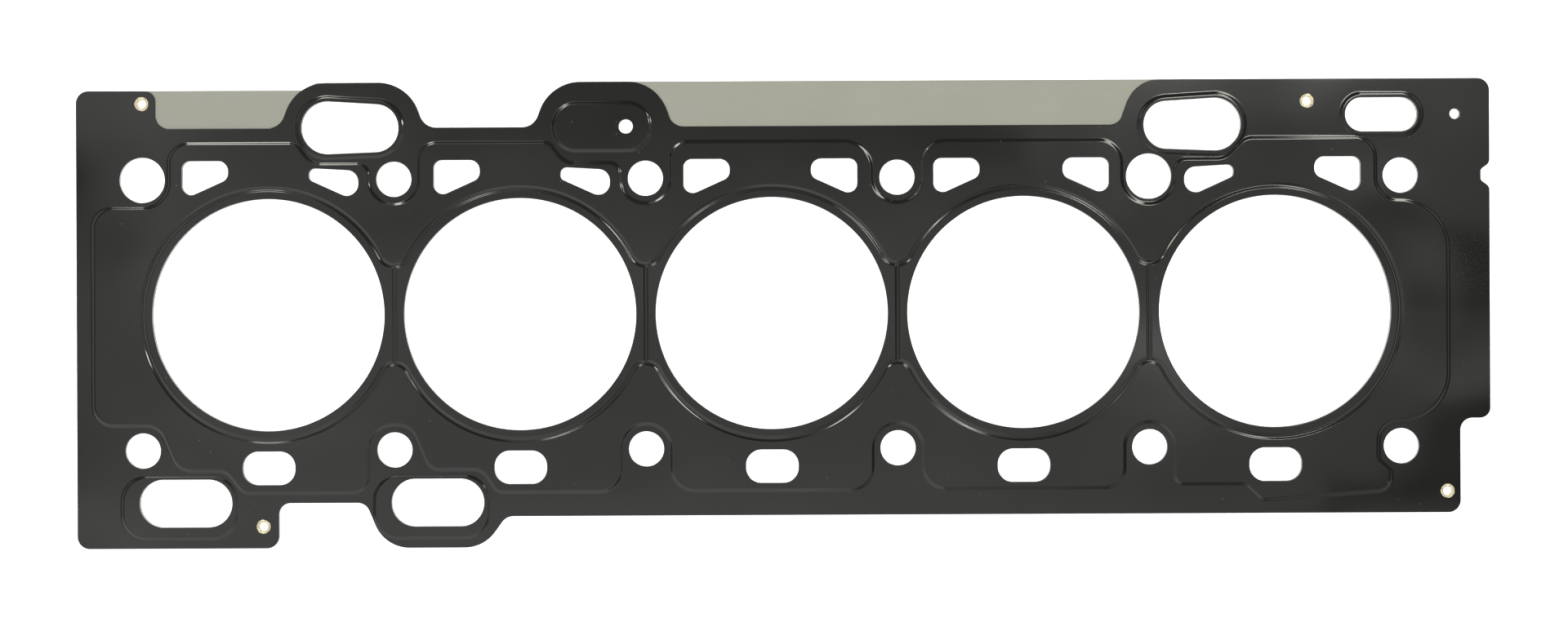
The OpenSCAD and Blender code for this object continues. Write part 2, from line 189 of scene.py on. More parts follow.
LEFT_OIL_SLOT = [
    (C1 - 32.3, 55.9, 9.215),
    (C1 - 32.3, 75.3, 9.215),
    (C1 + 1.7, 73.2, 8.2),
    (C1 + 1.7, 57.2, 8.2),
]
RIGHT_OIL_SLOT = mirrored(LEFT_OIL_SLOT)
LOWER_OIL_SLOTS = [
    box_corners(x, LOWER_OIL_SLOT_Y, LOWER_OIL_SLOT_L, LOWER_OIL_SLOT_W, LOWER_OIL_SLOT_R)
    for x in (C0 + 14.9, C1 + 15)
]
RETURN_SLOT = box_corners(C5 - 6.6, 68.65, 25.3, 11.9, 5.9)
# Upper water openings, drawn for the side right of a cylinder
WIDE_WATER = [(13.9, 47.6, 3.3), (13.9, 54, 3.6), (30.1, 54, 2.9), (30.1, 40.3, 3.3)]
NARROW_WATER = [(14.3, 47.25, 1.8), (14.3, 51.4, 2.2), (31.6, 50.4, 4.1), (31.6, 39.4, 4.1)]
# Each one's cylinder counted from the middle, its side, and how much further out it lies
WIDE_WATER_AT = [
    (-2, -1, 0), (-1, -1, 0), (0, -1, 0.6), (0, 1, 0), (1, -1, 1.2), (1, 1, 0), (2, 1, 0),
]
NARROW_WATER_AT = [(-2, 1, 0), (-1, 1, 0), (2, -1, 0)]
EYELETS = [(C0 - 0.1, 74), (C4 + 55.4, 73.4), (C5 + 16.1, -63.2), (C1 - 46, -74)]
EYELET_NODES = ["eyelet_upper_left", "eyelet_upper_right", "eyelet_lower_right", "eyelet_lower_left"]
VENT = (C2 - 6.8, 65.5)
CORNER_HOLE = (C5 + 19.1, 68.7)

# Edge of the raised water field. HUG is from a bolt's centre to the middle of the step around it,
# and UNDER_SLOT is where the step runs below the upper oil slots.
HUG = 8.75
HUG_R = HUG - 0.1
FIELD_TOP = 60.1
FIELD_LEFT = C0 - 17.3
FIELD_RIGHT = C5 + 16.6
UNDER_SLOT = 52.8
WATER_FIELD = [
    (FIELD_LEFT, -ROW + HUG, 7),
    (FIELD_LEFT, ROW - 9.8, 7),
    (C0 + 9.3, ROW - 9.8, 9),
    (C0 + 9.3, FIELD_TOP, 7),
    (C1 - 34.3, FIELD_TOP, 5),
    (C1 - 28.9, UNDER_SLOT, 7),
    (C1 - HUG, UNDER_SLOT, 4),
    (C1 - HUG, ROW - HUG, HUG_R),
    (C1 + HUG, ROW - HUG, HUG_R),
    (C1 + HUG, FIELD_TOP, 6),
    (C2 - 33.8, FIELD_TOP, 4),
    (C2 - 28.2, UNDER_SLOT, 7),
    (C2 - HUG, UNDER_SLOT, 4),
    (C2 - HUG, ROW - HUG, HUG_R),
    (C2 + HUG, ROW - HUG, HUG_R),
    (C2 + HUG, FIELD_TOP, 6),
    (C3 - HUG, FIELD_TOP, 10),
    (C3 - HUG, ROW - HUG, HUG_R),
    (C3 + HUG, ROW - HUG, HUG_R),
    (C3 + HUG, FIELD_TOP, 8),
    (C4 - 9.4, FIELD_TOP, 8),
    (C4 - 9.4, ROW - 9.6, 9.2),
    (C4 + 9.1, ROW - 9.6, 9),
    (C4 + 9.1, UNDER_SLOT + 0.6, 4),
    (C4 + 26.5, UNDER_SLOT + 0.6, 6),
    (C4 + 34, FIELD_TOP + 0.6, 6),
    (C5 - HUG, FIELD_TOP + 0.6, 7),
    (C5 - HUG, ROW - HUG, 8),
    (FIELD_RIGHT, ROW - HUG, 17),
    (FIELD_RIGHT, -ROW + HUG, 17),
    (C5 - 8, -ROW + HUG, 7),
    (C5 - 8, -52, 3),
    (C5 - 3.6, -56, 2.5),
    (C5 - 3.6, -62.9, 5),
    (C4 + 39.5, -66.1, 3),
    (C4 + 33.5, -60.4, 4),
    (C4 + HUG, -60.4, 3),
    (C4 + HUG, -ROW + HUG, HUG_R),
    (C4 - HUG, -ROW + HUG, HUG_R),
    (C4 - HUG, -61.6, 7),
    (C3 + HUG, -61.6, 8),
    (C3 + HUG, -ROW + HUG, HUG_R),
    (C3 - HUG, -ROW + HUG, HUG_R),
    (C3 - HUG, -62, 8),
    (C2 + HUG, -62, 8),
    (C2 + HUG, -ROW + HUG, HUG_R),
    (C2 - HUG, -ROW + HUG, HUG_R),
    (C2 - HUG, -62.3, 8),
    (C1 + 35.7, -62.3, 4),
    (C1 + 30.5, -54.3, 6),
    (C1 + 12.3, -54.3, 5),
    (C1 + 5.8, -ROW + HUG, 7),
    (C1 - 9.1, -ROW + HUG, HUG_R),
    (C1 - 9.1, -62.3, 6),
    (C0 + 35, -62.3, 4),
    (C0 + 29, -54.5, 6),
    (C0 + 12.4, -54.5, 7),
    (C0 + 5.7, -ROW + HUG, 7),
]
BLIND_LAND = box_corners(C2 - 15.2, 65.4, 34, 16.8, 8)
# How far the land around a lower oil slot reaches past it: left, right, above and below
LAND_PAST = (6, 1.5, 0.95, 4.05)
LAND_R = 8.5


def land_around(slot):
    """Raised land around a lower oil slot, which reaches past it by its own amount on each side."""
    left, right, above, below = LAND_PAST
    (x0, y0, _), _, (x1, y1, _), _ = slot
    return [
        (x0 - left, y0 - below, LAND_R),
        (x0 - left, y1 + above, LAND_R),
        (x1 + right, y1 + above, LAND_R),
        (x1 + right, y0 - below, LAND_R),
    ]


# Geometry of an outline with rounded corners

class Outline:
    """A closed clockwise outline with rounded corners: points along it, and distance to it."""

    def __init__(self, corners):
        self.arcs = []
        count = len(corners)
        for i, (bx, by, r) in enumerate(corners):
            a, c = corners[i - 1], corners[(i + 1) % count]
            u = np.array([bx - a[0], by - a[1]], float)
            v = np.array([c[0] - bx, c[1] - by], float)
            u /= np.linalg.norm(u)
            v /= np.linalg.norm(v)
            side = 1 if u[0] * v[1] - u[1] * v[0] < 0 else -1
            turn = math.acos(max(-1.0, min(1.0, float(u @ v))))
            rightward = np.array([u[1], -u[0]])
            centre = np.array([bx, by]) - u * r * math.tan(turn / 2) + side * r * rightward
            start = math.atan2(-side * rightward[1], -side * rightward[0])
            self.arcs.append((centre, r, start, -side * turn, side))

    def points(self, inward=0.0, step=ARC_STEP):
        """Points along the outline moved inward, as an (n, 2) array with no repeats."""
        out = []
        for centre, r, start, sweep, side in self.arcs:
            steps = max(1, math.ceil(math.degrees(abs(sweep)) / step - STEP_SLACK))
            angles = start + sweep * np.arange(steps + 1) / steps
            ring = centre + (r - side * inward) * np.stack([np.cos(angles), np.sin(angles)], 1)
            if out:
                out += straight_between(out[-1], ring[0])
            out += list(ring)
        out += straight_between(out[-1], out[0])
        return without_repeats(np.array(out))

    def distance(self, at):
        """Signed distance of points from the outline, positive inside it."""
        near = np.full(len(at), FAR_AWAY)
        ends = []
        for centre, r, start, sweep, _ in self.arcs:
            near = np.minimum(near, arc_distance(at, centre, r, start, sweep))
            turns = (start, start + sweep)
            ends.append([centre + r * np.array([math.cos(t), math.sin(t)]) for t in turns])
        for i, (first, _) in enumerate(ends):
            near = np.minimum(near, segment_distance(at, ends[i - 1][1], first))
        return np.where(inside(at, self.points(step=TEST_ARC_STEP)), near, -near)


def straight_between(a, b):
    """The points that split a straight stretch into pieces no longer than STRETCH."""
    pieces = max(1, math.ceil(float(np.linalg.norm(b - a)) / STRETCH))
    return [a + (b - a) * k / pieces for k in range(1, pieces)]


def without_repeats(loop):
    """The loop without the points that repeat the one before them."""
    keep = np.linalg.norm(loop - np.roll(loop, 1, axis=0), axis=1) > SAME_PLACE
    return loop[keep]


def arc_distance(at, centre, r, start, sweep):
    """Distance to an arc for points within its sweep, and far away for the others."""
    rel = at - centre
    length = np.maximum(np.hypot(rel[:, 0], rel[:, 1]), 1e-9)
    middle = start + sweep / 2
    towards = np.array([math.cos(middle), math.sin(middle)])
    within = (rel @ towards) >= length * math.cos(abs(sweep) / 2)
    return np.where(within, np.abs(length - r), FAR_AWAY)


def segment_distance(at, a, b):
    run = b - a
    along = np.clip(((at - a) @ run) / max(float(run @ run), 1e-12), 0, 1)
    gap = at - a - along[:, None] * run
    return np.hypot(gap[:, 0], gap[:, 1])


def inside(at, loop):
    """Whether each point lies inside a closed loop, by counting crossings."""
    result = np.zeros(len(at), bool)
    low, high = loop.min(0), loop.max(0)
    near = np.where(((at > low) & (at < high)).all(1))[0]
    if not len(near):
        return result
    x, y = at[near, 0], at[near, 1]
    odd = np.zeros(len(near), bool)
    after = np.roll(loop, -1, axis=0)
    for (ax, ay), (bx, by) in zip(loop, after):
        if ay == by:
            continue
        crosses = (ay > y) != (by > y)
        odd ^= crosses & (x < ax + (y - ay) * (bx - ax) / (by - ay))
    result[near] = odd
    return result


def circle_points(x, y, d, step):
    angles = -np.radians(np.arange(0, 360, step))
    return np.stack([x + d / 2 * np.cos(angles), y + d / 2 * np.sin(angles)], 1)


# Holes through every sheet

def beside(corners, side, x):
    return moved(corners if side > 0 else mirrored(corners), x)


def round_holes():
    """Centre and diameter of every round hole."""
    holes = [(i * PITCH, 0, BORE_D) for i in CYLINDERS]
    for i, x in enumerate((C0, C1, C2, C3, C4, C5)):
        holes.append((x, -ROW, BOLT_HOLE_D))
        holes.append((x, ROW, SLEEVE_HOLE_D if i in SLEEVE_COLUMNS else BOLT_HOLE_D))
    holes.append((*VENT, VENT_HOLE_D))
    holes.append((*CORNER_HOLE, CORNER_HOLE_D))
    return holes + [(x, y, EYELET_SEAT_D) for x, y in EYELETS]


def shaped_holes():
    """Corners of every opening that isn't round."""
    holes = [box_corners(i * PITCH, WATER_SLOT_Y, WATER_SLOT_L, WATER_SLOT_W, WATER_SLOT_R)
             for i in CYLINDERS]
    for corners, places in ((WIDE_WATER, WIDE_WATER_AT), (NARROW_WATER, NARROW_WATER_AT)):
        holes += [beside(corners, side, i * PITCH + side * out) for i, side, out in places]
    return holes + [LEFT_OIL_SLOT, RIGHT_OIL_SLOT, RETURN_SLOT] + LOWER_OIL_SLOTS


def hole_step(d):
    """Turn between two points around a round hole."""
    if d == BORE_D:
        return BORE_ARC_STEP
    return SMALL_ARC_STEP if d < SMALL_D else ARC_STEP


def hole_loops(wider=0.0):
    """A loop around every hole, at its edge or at a distance outside it."""
    loops = [circle_points(x, y, d + 2 * wider, hole_step(d)) for x, y, d in round_holes()]
    return loops + [Outline(corners).points(inward=-wider) for corners in shaped_holes()]


# Height of a bead sheet's face above its margin

RAISED = [(Outline(WATER_FIELD), 0.0), (Outline(BLIND_LAND), 0.0),
          (Outline(LEFT_OIL_SLOT), SLOT_LAND), (Outline(RIGHT_OIL_SLOT), SLOT_LAND),
          (Outline(RETURN_SLOT), RETURN_SLOT_LAND)]
RAISED += [(Outline(land_around(slot)), 0.0) for slot in LOWER_OIL_SLOTS]

CHANNEL_R = BORE_D / 2 + BORE_LAND
VALLEY_Y = math.sqrt((CHANNEL_R + VALLEY_R) ** 2 - (PITCH / 2) ** 2)
VALLEY_ANGLE = math.atan2(VALLEY_Y, PITCH / 2)


def channel_arcs():
    """Centre, radius, start and sweep of every arc of the channel around the cylinder openings."""
    turn = math.pi - 2 * VALLEY_ANGLE
    arcs = []
    for i in CYLINDERS:
        centre = np.array([i * PITCH, 0.0])
        if i == CYLINDERS[0]:
            arcs.append((centre, CHANNEL_R, VALLEY_ANGLE, 2 * math.pi - 2 * VALLEY_ANGLE))
        elif i == CYLINDERS[-1]:
            arcs.append((centre, CHANNEL_R, math.pi + VALLEY_ANGLE, 2 * math.pi - 2 * VALLEY_ANGLE))
        else:
            arcs.append((centre, CHANNEL_R, VALLEY_ANGLE, turn))
            arcs.append((centre, CHANNEL_R, math.pi + VALLEY_ANGLE, turn))
    for x in (C1, C2, C3, C4):
        arcs.append((np.array([x, VALLEY_Y]), VALLEY_R, math.pi + VALLEY_ANGLE, turn))
        arcs.append((np.array([x, -VALLEY_Y]), VALLEY_R, VALLEY_ANGLE, turn))
    return arcs


def web_ends():
    """The two ends of the straight channel in each web between two cylinder openings."""
    reach = VALLEY_Y - VALLEY_R
    return [(np.array([x, -reach]), np.array([x, reach])) for x in (C1, C2, C3, C4)]


def channel_distance(at):
    """Distance of points from the middle line of the channel around the cylinder openings."""
    near = np.full(len(at), FAR_AWAY)
    for centre, r, start, sweep in channel_arcs():
        near = np.minimum(near, arc_distance(at, centre, r, start, sweep))
    for a, b in web_ends():
        near = np.minimum(near, segment_distance(at, a, b))
    return near


def eased(t):
    """0 to 1 with level ends: the section of a pressed step."""
    t = np.clip(t, 0, 1)
    return t ** 3 * (10 - 15 * t + 6 * t * t)


def bead_height(at):
    """Height of the upper face above the margin, from 0 to the height of a bead."""
    raised = np.zeros(len(at))
    for outline, outward in RAISED:
        raised = np.maximum(raised, eased((outline.distance(at) + outward) / STEP_W + 0.5))
    return BEAD_H * raised * eased(channel_distance(at) / (CHANNEL_W / 2))


def crease_lines():
    """Loops and open lines that the mesh of a bead sheet follows, closed or not."""
    lines = []
    for outline, outward in RAISED:
        for t in np.linspace(-0.5, 0.5, STEP_LINES):
            lines.append((outline.points(inward=t * STEP_W - outward), True))
    for across in np.linspace(-0.5, 0.5, CHANNEL_LINES):
        shift = across * CHANNEL_W
        for centre, r, start, sweep in channel_arcs():
            steps = max(1, math.ceil(math.degrees(sweep) / ARC_STEP))
            angles = start + sweep * np.arange(steps + 1) / steps
            radius = r + (shift if r > VALLEY_R else -shift)
            lines.append((centre + radius * np.stack([np.cos(angles), np.sin(angles)], 1), False))
        for a, b in web_ends():
            along = np.linspace(a[1], b[1], WEB_POINTS)
            lines.append((np.stack([np.full(WEB_POINTS, a[0] + shift), along], 1), False))
    rims = [Outline(BEAD_SHEET_EDGE).points(inward=ROLLOVER_W)] + hole_loops(ROLLOVER_W)
    return lines + [(loop, True) for loop in rims]


# Meshes

def plan_triangles(edge, holes, creases):
    """Triangles of a flat sheet in plan: points, and corners of each triangle."""
    points, edges = [], []

    def add(loop, closed):
        first = len(points)
        points.extend(map(tuple, loop))
        edges.extend((first + i, first + i + 1) for i in range(len(loop) - 1))
        if closed:
            edges.append((first + len(loop) - 1, first))

    add(edge, True)
    for loop in holes:
        add(loop, True)
    for loop, closed in creases:
        add(loop, closed)
    out, _, faces, _, _, _ = delaunay_2d_cdt([Vector(p) for p in points], edges, [], 0, SAME_VERTEX)
    at = np.array([(p.x, p.y) for p in out])
    tris = np.array([f for f in faces if len(f) == 3])
    middle = at[tris].mean(1)
    keep = inside(middle, edge)
    for loop in holes:
        keep &= ~inside(middle, loop)
    tris = tris[keep]
    a, b, c = at[tris[:, 0]], at[tris[:, 1]], at[tris[:, 2]]
    area = (b[:, 0] - a[:, 0]) * (c[:, 1] - a[:, 1]) - (b[:, 1] - a[:, 1]) * (c[:, 0] - a[:, 0])
    tris[area < 0] = tris[area < 0][:, ::-1]
    used, flat = np.unique(tris, return_inverse=True)
    return at[used], flat.reshape(-1, 3)


def rim_edges(tris):
    """Edges of the plan that one triangle has, in that triangle's direction."""
    pairs = np.concatenate([tris[:, [0, 1]], tris[:, [1, 2]], tris[:, [2, 0]]])
    key = np.sort(pairs, 1)
    _, index, counts = np.unique(key, axis=0, return_index=True, return_counts=True)
    return pairs[index[counts == 1]]


def rim_outward(at, tris):
    """Rim points of the plan, and the direction out of the sheet at each."""
    rim = rim_edges(tris)
    run = at[rim[:, 1]] - at[rim[:, 0]]
    out = np.column_stack([run[:, 1], -run[:, 0]]) / np.linalg.norm(run, axis=1)[:, None]
    total = np.zeros_like(at)
    np.add.at(total, rim[:, 0], out)
    np.add.at(total, rim[:, 1], out)
    index = np.unique(rim)
    return index, total[index] / np.linalg.norm(total[index], axis=1)[:, None]


def sheet_mesh(name, at, tris, top, bottom, top_normals, bottom_normals):
    """A closed sheet between two height fields over one plan, with exact normals on its faces."""
    count = len(at)
    verts = np.concatenate([np.column_stack([at, top]), np.column_stack([at, bottom])]) * MM
    rim = rim_edges(tris)
    walls = np.column_stack([rim[:, 0], rim[:, 0] + count, rim[:, 1] + count, rim[:, 1]])
    faces = [tuple(f) for part in (tris, tris[:, ::-1] + count, walls) for f in part]
    mesh = bpy.data.meshes.new(name)
    mesh.from_pydata(verts.tolist(), [], faces)
    mesh.polygons.foreach_set("use_smooth", np.ones(len(faces), bool))
    material = np.zeros(len(faces), np.int32)
    material[2 * len(tris):] = 1
    mesh.polygons.foreach_set("material_index", material)
    sharp = set(map(tuple, np.sort(rim, 1))) | set(map(tuple, np.sort(rim, 1) + count))
    ends = np.zeros(len(mesh.edges) * 2, np.int64)
    mesh.edges.foreach_get("vertices", ends)
    pairs = np.sort(ends.reshape(-1, 2), 1)
    mesh.edges.foreach_set("use_edge_sharp", np.array([tuple(p) in sharp for p in pairs], bool))
    normals = np.zeros((2 * len(tris) * 3 + len(walls) * 4, 3))
    normals[:len(tris) * 3] = top_normals[tris.ravel()]
    normals[len(tris) * 3:len(tris) * 6] = bottom_normals[tris[:, ::-1].ravel()]
    mesh.update()
    mesh.normals_split_custom_set(normals.tolist())
    mesh.update()
    return mesh


def new_piece(name, mesh, materials):
    piece = bpy.data.objects.new(name, mesh)
    bpy.context.scene.collection.objects.link(piece)
    for material in materials:
        mesh.materials.append(material)
    return piece


# Materials

NOISE_ROUGHNESS = 0.55
# Share of the radius of a speck or scuff that is full
FULL_SHARE = 0.4
# A scratch is a speck drawn out: its width over its length, and its radius in cells
SCRATCH_SLIMNESS = 0.04
SCRATCH_SIZE = 0.08


class Graph:
    """A short way to write a node tree: add a node, set its inputs, link its outputs."""

    def __init__(self, tree):
        self.tree = tree
        tree.nodes.clear()

    def add(self, kind, settings=None, **inputs):
        node = self.tree.nodes.new(kind)
        for key, value in (settings or {}).items():
            setattr(node, key, value)
        for key, value in inputs.items():
            self.put(node, key.replace("_", " "), value)
        return node

    def put(self, node, socket, value):
        target = node.inputs[socket]
        if isinstance(value, bpy.types.NodeSocket):
            self.tree.links.new(value, target)
        else:
            target.default_value = value

    def math(self, operation, a, b=0.0):
        node = self.tree.nodes.new("ShaderNodeMath")
        node.operation = operation
        self.put(node, 0, a)
        self.put(node, 1, b)
        return node.outputs[0]

    def stretched(self, vector, scale):
        node = self.add("ShaderNodeMapping", Scale=scale)
        self.put(node, "Vector", vector)
        return node.outputs["Vector"]

    def noise(self, vector, scale, detail):
        node = self.add("ShaderNodeTexNoise", Scale=scale, Detail=detail, Roughness=NOISE_ROUGHNESS)
        self.put(node, "Vector", vector)
        return node.outputs["Fac"]

    def spread(self, value, low, high, to_low, to_high):
        node = self.add("ShaderNodeMapRange", {"clamp": True})
        for socket, number in zip(("Value", "From Min", "From Max", "To Min", "To Max"),
                                  (value, low, high, to_low, to_high)):
            self.put(node, socket, number)
        return node.outputs["Result"]

    def blend(self, factor, a, b):
        node = self.add("ShaderNodeMix", {"data_type": "RGBA"})
        self.put(node, 0, factor)
        self.put(node, 6, a)
        self.put(node, 7, b)
        return node.outputs[2]


def new_material(name):
    material = bpy.data.materials.new(name)
    material.use_nodes = True
    graph = Graph(material.node_tree)
    out = graph.add("ShaderNodeOutputMaterial")
    shader = graph.add("ShaderNodeBsdfPrincipled")
    graph.tree.links.new(shader.outputs["BSDF"], out.inputs["Surface"])
    coords = graph.add("ShaderNodeTexCoord").outputs["Object"]
    return material, graph, shader, coords


def specks(graph, coords, scale, size, share):
    """Sparse round specks: 1 in the middle of each, 0 between them."""
    cells = graph.add("ShaderNodeTexVoronoi", {"feature": "F1"}, Scale=scale)
    graph.put(cells, "Vector", coords)
    dot = graph.spread(cells.outputs["Distance"], size * FULL_SHARE, size, 1.0, 0.0)
    chosen = graph.add("ShaderNodeSeparateColor")
    graph.put(chosen, "Color", cells.outputs["Color"])
    return graph.math("MULTIPLY", dot, graph.math("GREATER_THAN", chosen.outputs[0], 1 - share))


def scratches(graph, coords, turn, scale, share):
    """Sparse fine scratches that run across the sheet at one angle."""
    drawn_out = (scale * SCRATCH_SLIMNESS, scale, 0)
    node = graph.add("ShaderNodeMapping", Rotation=(0, 0, turn), Scale=drawn_out)
    graph.put(node, "Vector", coords)
    return specks(graph, node.outputs["Vector"], 1.0, SCRATCH_SIZE, share)


def bumped(graph, shader, *layers):
    """Bumps laid over one another, each a height, its distance in metres and its strength."""
    normal = None
    for height, distance, strength in layers:
        bump = graph.add("ShaderNodeBump", Strength=strength, Distance=distance)
        graph.put(bump, "Height", height)
        if normal:
            graph.put(bump, "Normal", normal)
        normal = bump.outputs["Normal"]
    graph.put(shader, "Normal", normal)


# Middle and radius of a lighter, rougher, patchy spot beside the right edge, in metres
PALE_PATCH_AT = (0.246, 0.018, 0.0)
PALE_PATCH_R = 0.018


def black_coating(name):
    """Thin rubber coat on steel: nearly black and glossy, with dust, scratches, blotches and a lighter,
    rougher spot beside the right edge.
    """
    material, graph, shader, coords = new_material(name)
    blotch = graph.noise(coords, 22.0, 2.0)
    grain = graph.noise(coords, 2600.0, 3.0)
    dust = specks(graph, coords, 260.0, 0.09, 0.12)
    marks = graph.math("MAXIMUM", scratches(graph, coords, 0.5, 900.0, 0.004),
                       scratches(graph, coords, 2.2, 700.0, 0.004))
    base = graph.blend(graph.spread(blotch, 0.35, 0.65, 0.0, 1.0),
                       (0.0045, 0.0044, 0.0036, 1), (0.0070, 0.0068, 0.0056, 1))
    base = graph.blend(graph.math("MULTIPLY", dust, 0.4), base, (0.14, 0.135, 0.12, 1))
    base = graph.blend(graph.math("MULTIPLY", marks, 0.35), base, (0.12, 0.12, 0.11, 1))
    # A patchy spot beside the right edge with a paler base colour and a higher roughness
    away = graph.add("ShaderNodeVectorMath", {"operation": "DISTANCE"})
    graph.put(away, 0, coords)
    graph.put(away, 1, PALE_PATCH_AT)
    pale_patch = graph.spread(away.outputs["Value"], PALE_PATCH_R * FULL_SHARE, PALE_PATCH_R, 1.0, 0.0)
    patchy = graph.spread(graph.noise(coords, 1500.0, 3.0), 0.54, 0.74, 0.0, 1.0)
    pale_patch = graph.math("MULTIPLY", pale_patch, patchy)
    base = graph.blend(graph.math("MULTIPLY", pale_patch, 0.20), base, (0.07, 0.07, 0.06, 1))
    marks = graph.math("MAXIMUM", marks, graph.math("MULTIPLY", pale_patch, 0.4))
    graph.put(shader, "Base Color", base)
    rough = graph.math("ADD", graph.spread(blotch, 0.3, 0.7, 0.055, 0.075),
                       graph.spread(grain, 0.3, 0.7, -0.005, 0.010))
    graph.put(shader, "Roughness", graph.math("ADD", rough, graph.math("MULTIPLY", marks, 0.15)))
    shader.inputs["IOR"].default_value = 1.5
    waves = graph.noise(coords, 14.0, 1.0)
    height = graph.math("ADD", graph.math("MULTIPLY", grain, 0.6), graph.math("MULTIPLY", dust, 1.2))
    bumped(graph, shader, (waves, 0.0007, 1.0), (height, 0.00001, 0.05))
    return material


def cut_steel(name):
    """Sheared edge of a sheet: bright steel with fine upright marks."""
    material, graph, shader, coords = new_material(name)
    shear = graph.noise(graph.stretched(coords, (1.0, 1.0, 0.05)), 5200.0, 2.0)
    tone = graph.blend(shear, (0.30, 0.30, 0.29, 1), (0.48, 0.475, 0.46, 1))
    graph.put(shader, "Base Color", tone)
    shader.inputs["Metallic"].default_value = 0.75
    graph.put(shader, "Roughness", graph.spread(shear, 0.3, 0.7, 0.35, 0.5))
    bumped(graph, shader, (shear, 0.00002, 0.3))
    return material


def bare_steel(name):
    """Rolled steel strip: dull warm grey with a faint grain along the sheet."""
    material, graph, shader, coords = new_material(name)
    roll = graph.noise(graph.stretched(coords, (0.04, 1.0, 1.0)), 2400.0, 4.0)
    cloud = graph.noise(coords, 35.0, 3.0)
    tone = graph.blend(roll, (0.255, 0.255, 0.213, 1), (0.292, 0.291, 0.243, 1))
    tone = graph.blend(graph.spread(cloud, 0.4, 0.7, 0.0, 0.25), tone, (0.32, 0.32, 0.28, 1))
    stain = specks(graph, coords, 420.0, 0.12, 0.06)
    tone = graph.blend(graph.math("MULTIPLY", stain, 0.25), tone, (0.16, 0.155, 0.13, 1))
    graph.put(shader, "Base Color", tone)
    shader.inputs["Metallic"].default_value = 0.25
    graph.put(shader, "Roughness", graph.spread(roll, 0.3, 0.7, 0.42, 0.55))
    bumped(graph, shader, (roll, 0.00001, 0.4))
    return material


def eyelet_brass(name):
    """Rolled brass: pale gold, half bright, darker where the tool pressed it."""
    material, graph, shader, coords = new_material(name)
    turned = graph.noise(coords, 1500.0, 3.0)
    tone = graph.blend(turned, (0.50, 0.44, 0.29, 1), (0.66, 0.60, 0.42, 1))
    graph.put(shader, "Base Color", tone)
    shader.inputs["Metallic"].default_value = 0.9
    graph.put(shader, "Roughness", graph.spread(turned, 0.3, 0.7, 0.20, 0.34))
    bumped(graph, shader, (turned, 0.00002, 0.3))
    return material


# Sheets

def upright(at, turned=1.0):
    """Normals straight up, or straight down where turned is -1."""
    normals = np.zeros((len(at), 3))
    normals[:, 2] = turned
    return normals


def bead_normals(at):
    """Normals of the bead sheet's upper face, from the slope of its height."""
    dx = np.array([SLOPE_REACH, 0.0])
    dy = np.array([0.0, SLOPE_REACH])
    slope_x = (bead_height(at + dx) - bead_height(at - dx)) / (2 * SLOPE_REACH)
    slope_y = (bead_height(at + dy) - bead_height(at - dy)) / (2 * SLOPE_REACH)
    normals = np.column_stack([-slope_x, -slope_y, np.ones(len(at))])
    return normals / np.linalg.norm(normals, axis=1)[:, None]


def bead_sheets(coating, edge_steel):
    """The upper black sheet, and the lower one, which is its mirror image."""
    edge = Outline(BEAD_SHEET_EDGE).points()
    at, tris = plan_triangles(edge, hole_loops(), crease_lines())
    top = MARGIN_FACE + bead_height(at)
    under = top - BEAD_SHEET_T
    normals = bead_normals(at)
    under_normals = -normals
    rim, out = rim_outward(at, tris)
    tilt = np.column_stack([out * ROLLOVER_SLOPE, np.zeros(len(rim))])
    normals[rim] += tilt
    under_normals[rim] += tilt
    top[rim] -= ROLLOVER_DROP
    under[rim] += ROLLOVER_DROP
    upper = sheet_mesh("upper_bead_sheet", at, tris, top, under, normals, under_normals)
    over = np.array([1, 1, -1])
    lower = sheet_mesh("lower_bead_sheet", at, tris, STACK_H - under, STACK_H - top,
                       under_normals * over, normals * over)
    return [new_piece("upper_bead_sheet", upper, [coating, edge_steel]),
            new_piece("lower_bead_sheet", lower, [coating, edge_steel])]


def distance_sheet(steel, edge_steel):
    """The bare steel sheet in the middle, flat on both faces."""
    edge = Outline(DISTANCE_EDGE).points()
    at, tris = plan_triangles(edge, hole_loops(), [])
    top = np.full(len(at), UPPER_FACE)
    mesh = sheet_mesh("distance_sheet", at, tris, top, top - DISTANCE_T, upright(at), upright(at, -1.0))
    return new_piece("distance_sheet", mesh, [steel, edge_steel])


# Eyelets

EYELET_TURNS = 96
HEAD_POINTS = 25
CRIMP_POINTS = 13
# Unevenness of a rolled head: lobes around it, and how far each reaches
RIPPLES = ((3, 0.05), (7, 0.03), (11, 0.02))
# A fold: half its width in radians, how far it stands out, and how far in radians it strays from +Y
FOLD_TURN = 0.22
FOLD_OUT = 0.16
FOLD_SWAY = 0.3
# How much an eyelet's place along X turns its unevenness, against its place along Y
PHASE_BY_X = 0.7


def eyelet_section():
    """Half section of an eyelet: radius and height of each point, with the interior on the left."""
    inner, tube, head = EYELET_BORE_D / 2, EYELET_BORE_D / 2 + EYELET_WALL, EYELET_HEAD_D / 2
    middle, reach = (inner + head) / 2, (head - inner) / 2
    over = np.linspace(0, math.pi, HEAD_POINTS)
    under = np.linspace(math.pi, 2 * math.pi, CRIMP_POINTS)
    head_z = MARGIN_FACE + EYELET_HEAD_H * np.sin(over)
    crimp_z = BEAD_H + BEAD_H * np.sin(under)
    head_arc = np.column_stack([middle + reach * np.cos(over), head_z])
    crimp_arc = np.column_stack([middle + reach * np.cos(under), crimp_z])
    return np.concatenate([[[tube, BEAD_H], [tube, MARGIN_FACE]], head_arc, crimp_arc])


